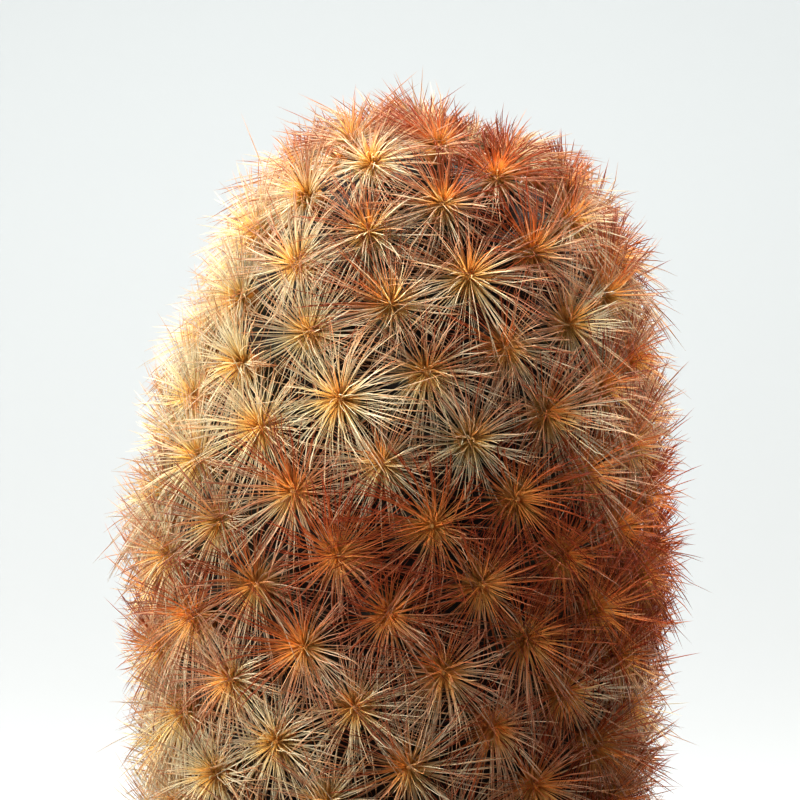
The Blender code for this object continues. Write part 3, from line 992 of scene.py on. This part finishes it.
def cluster_spines(cluster, rng):
    """Paths, radii and looks of one cluster's spines."""
    number, depth, point, normal, side, rise = cluster
    youth = math.exp(-number / YOUNG_SPINES)
    tilt = side * rng.normal(0.0, CLUSTER_TILT) + rise * rng.normal(CLUSTER_NOD, CLUSTER_TILT)
    normal = unit(normal + tilt)
    side = unit(np.cross(rise, normal))
    rise = np.cross(normal, side)
    own_cup, own_red, own_red_side, own_tone = rng.normal(0.0, CLUSTER_SPREADS)
    reach = SPINE_LENGTH * np.clip(rng.normal(1.0, REACH_SPREAD), *REACH_LIMITS)

    order = np.arange(SPINES)
    share = (order + rng.random(SPINES)) / SPINES
    turn = GOLDEN_ANGLE * order + rng.normal(0.0, TURN_SPREAD, SPINES) + number
    bunch = np.sin(BUNCHES * turn + rng.random() * BUNCH_PHASE)
    turn = turn + BUNCHING * bunch * (1.0 + rng.random(SPINES))
    inner = np.clip((share - INNER_SHARE) / (1.0 - INNER_SHARE), 0.0, 1.0)
    lift = LOWEST_LIFT + OUTER_LIFT * share + INNER_LIFT * inner + UPPER_LIFT * np.sin(turn)
    lift += YOUNG_LIFT * youth + own_cup + rng.normal(0.0, LIFT_SPREAD, SPINES)
    flat = swing(side, rise, turn)
    heading = swing(flat, normal, np.minimum(lift, HIGHEST_LIFT))
    length = reach * (1.0 - (1.0 - YOUNG_LENGTH) * youth) * (1.0 - (1.0 - INNER_LENGTH) * inner)
    length = length * (1.0 - UPPER_SHORTENING * np.sin(turn)) * rng.normal(1.0, LENGTH_SPREAD, SPINES)

    off_middle = AREOLE_RADIUS * (INNER_FOOT + (1.0 - INNER_FOOT) * np.sqrt(1.0 - share))
    raised = FOOT_RISE * (share + inner) - AREOLE_DEPTH * (1.0 - YOUNG_RAISE * youth)
    foot = point + flat * off_middle[:, None] + normal * raised[:, None]
    paths = foot[:, None] + bent_paths(heading, flat, normal, side, rise, rng) * length[:, None, None]
    radii = SPINE_RADIUS * SPINE_TAPER * rng.uniform(*THICKNESS_LIMITS, SPINES)[:, None]

    # Redness from the year's bands plus painted shade by side, then the cluster's own and the spines' own
    red = redness(depth, point[0]) + own_red + INNER_RED * (share - 0.5)
    red = red + RED_ABOVE * np.sin(turn - RED_TURN + RED_SIDE_TURN * own_red_side)
    red = red + rng.normal(0.0, RED_SPREAD, SPINES)
    tone = rng.normal(TONE, TONE_SPREAD, SPINES) + own_tone + INNER_TONE * inner
    pace = rng.uniform(*PACE_LIMITS, SPINES) * (1.0 - INNER_AMBER * inner)
    looks = np.empty((SPINES, len(SPINE_STATIONS), 3))
    looks[..., 0] = np.minimum(YOUNG_COLOUR * youth + SPINE_STATIONS * pace[:, None], 1.0)
    looks[..., 1] = np.clip(red, 0.0, 1.0)[:, None]
    looks[..., 2] = np.clip(tone, *TONE_LIMITS)[:, None]
    return paths, radii, looks


def make_spines(clusters, material):
    """One piece for the crown and one for each spiral row, each standing for its solid."""
    rng = np.random.default_rng(SEED)
    made = [cluster_spines(cluster, rng) for cluster in clusters]
    groups = {"crown": range(CROWN_CLUSTERS)}
    for row in range(ROWS):
        groups[f"row_{row + 1:02d}"] = [n for n in range(CROWN_CLUSTERS, CLUSTERS) if n % ROWS == row]
    for name, members in groups.items():
        paths, radii, looks = (np.concatenate([made[n][i] for n in members]) for i in range(3))
        piece = hair_mesh(f"{name}_spines", paths, radii, material, looks)
        map_strips(piece, len(paths), paths.shape[1] - 1, SPINE_STATIONS)
        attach(piece, "root")
        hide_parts(f"spine_{name}")


def make_camera():
    data = bpy.data.cameras.new("camera")
    data.sensor_width = CAMERA_SENSOR
    data.lens = CAMERA_LENS
    data.clip_start = 0.01
    data.clip_end = 20.0
    camera = bpy.data.objects.new("camera", data)
    camera.location = CAMERA_PLACE
    camera.rotation_euler = (math.pi / 2.0, 0.0, 0.0)
    bpy.context.scene.collection.objects.link(camera)
    bpy.context.scene.camera = camera


def make_lamp(name, place, target, size, power, colour):
    data = bpy.data.lights.new(name, "AREA")
    data.shape = "DISK"
    data.size = size
    data.energy = power
    data.color = colour
    light = bpy.data.objects.new(name, data)
    light.location = place
    light.rotation_euler = (Vector(target) - Vector(place)).to_track_quat("-Z", "Y").to_euler()
    light.visible_camera = False
    bpy.context.scene.collection.objects.link(light)


def make_lights():
    world = bpy.data.worlds.new("studio")
    world.use_nodes = True
    background = world.node_tree.nodes["Background"]
    background.inputs["Color"].default_value = SKY_COLOUR
    background.inputs["Strength"].default_value = SKY_STRENGTH
    bpy.context.scene.world = world
    for lamp in LAMPS:
        make_lamp(*lamp)
    bpy.context.scene.view_settings.view_transform = "Standard"
    bpy.context.scene.view_settings.look = "Medium High Contrast"


def make_stage():
    """A pale floor that curves up all round into a backdrop."""
    nodes = Nodes("backdrop")
    nodes.surface(FLOOR_COLOUR, roughness=0.9, specular=0.1)
    radii = np.concatenate([[0.0], np.linspace(FLOOR_FIRST, FLOOR_END, FLOOR_RINGS)])
    heights = FLOOR_RISE * np.maximum(radii - FLOOR_FLAT, 0.0) ** 2
    floor = turned("floor", list(zip(radii, heights)), FLOOR_STEPS, nodes.material)


make_camera()
make_lights()
make_stage()
clusters = spiral_clusters()
spine = spine_material()
make_spines(clusters, spine)
make_stray_hairs(clusters, spine)
felt_and_painted_glow = felt_material()
felt_rng = np.random.default_rng(SEED + 1)
make_felt_pads(clusters, felt_and_painted_glow, felt_rng)
make_felt_hairs(clusters, felt_and_painted_glow, felt_rng)
make_stem(clusters)
make_pot(clay_material())
make_soil(soil_material())
make_grit(grit_material())
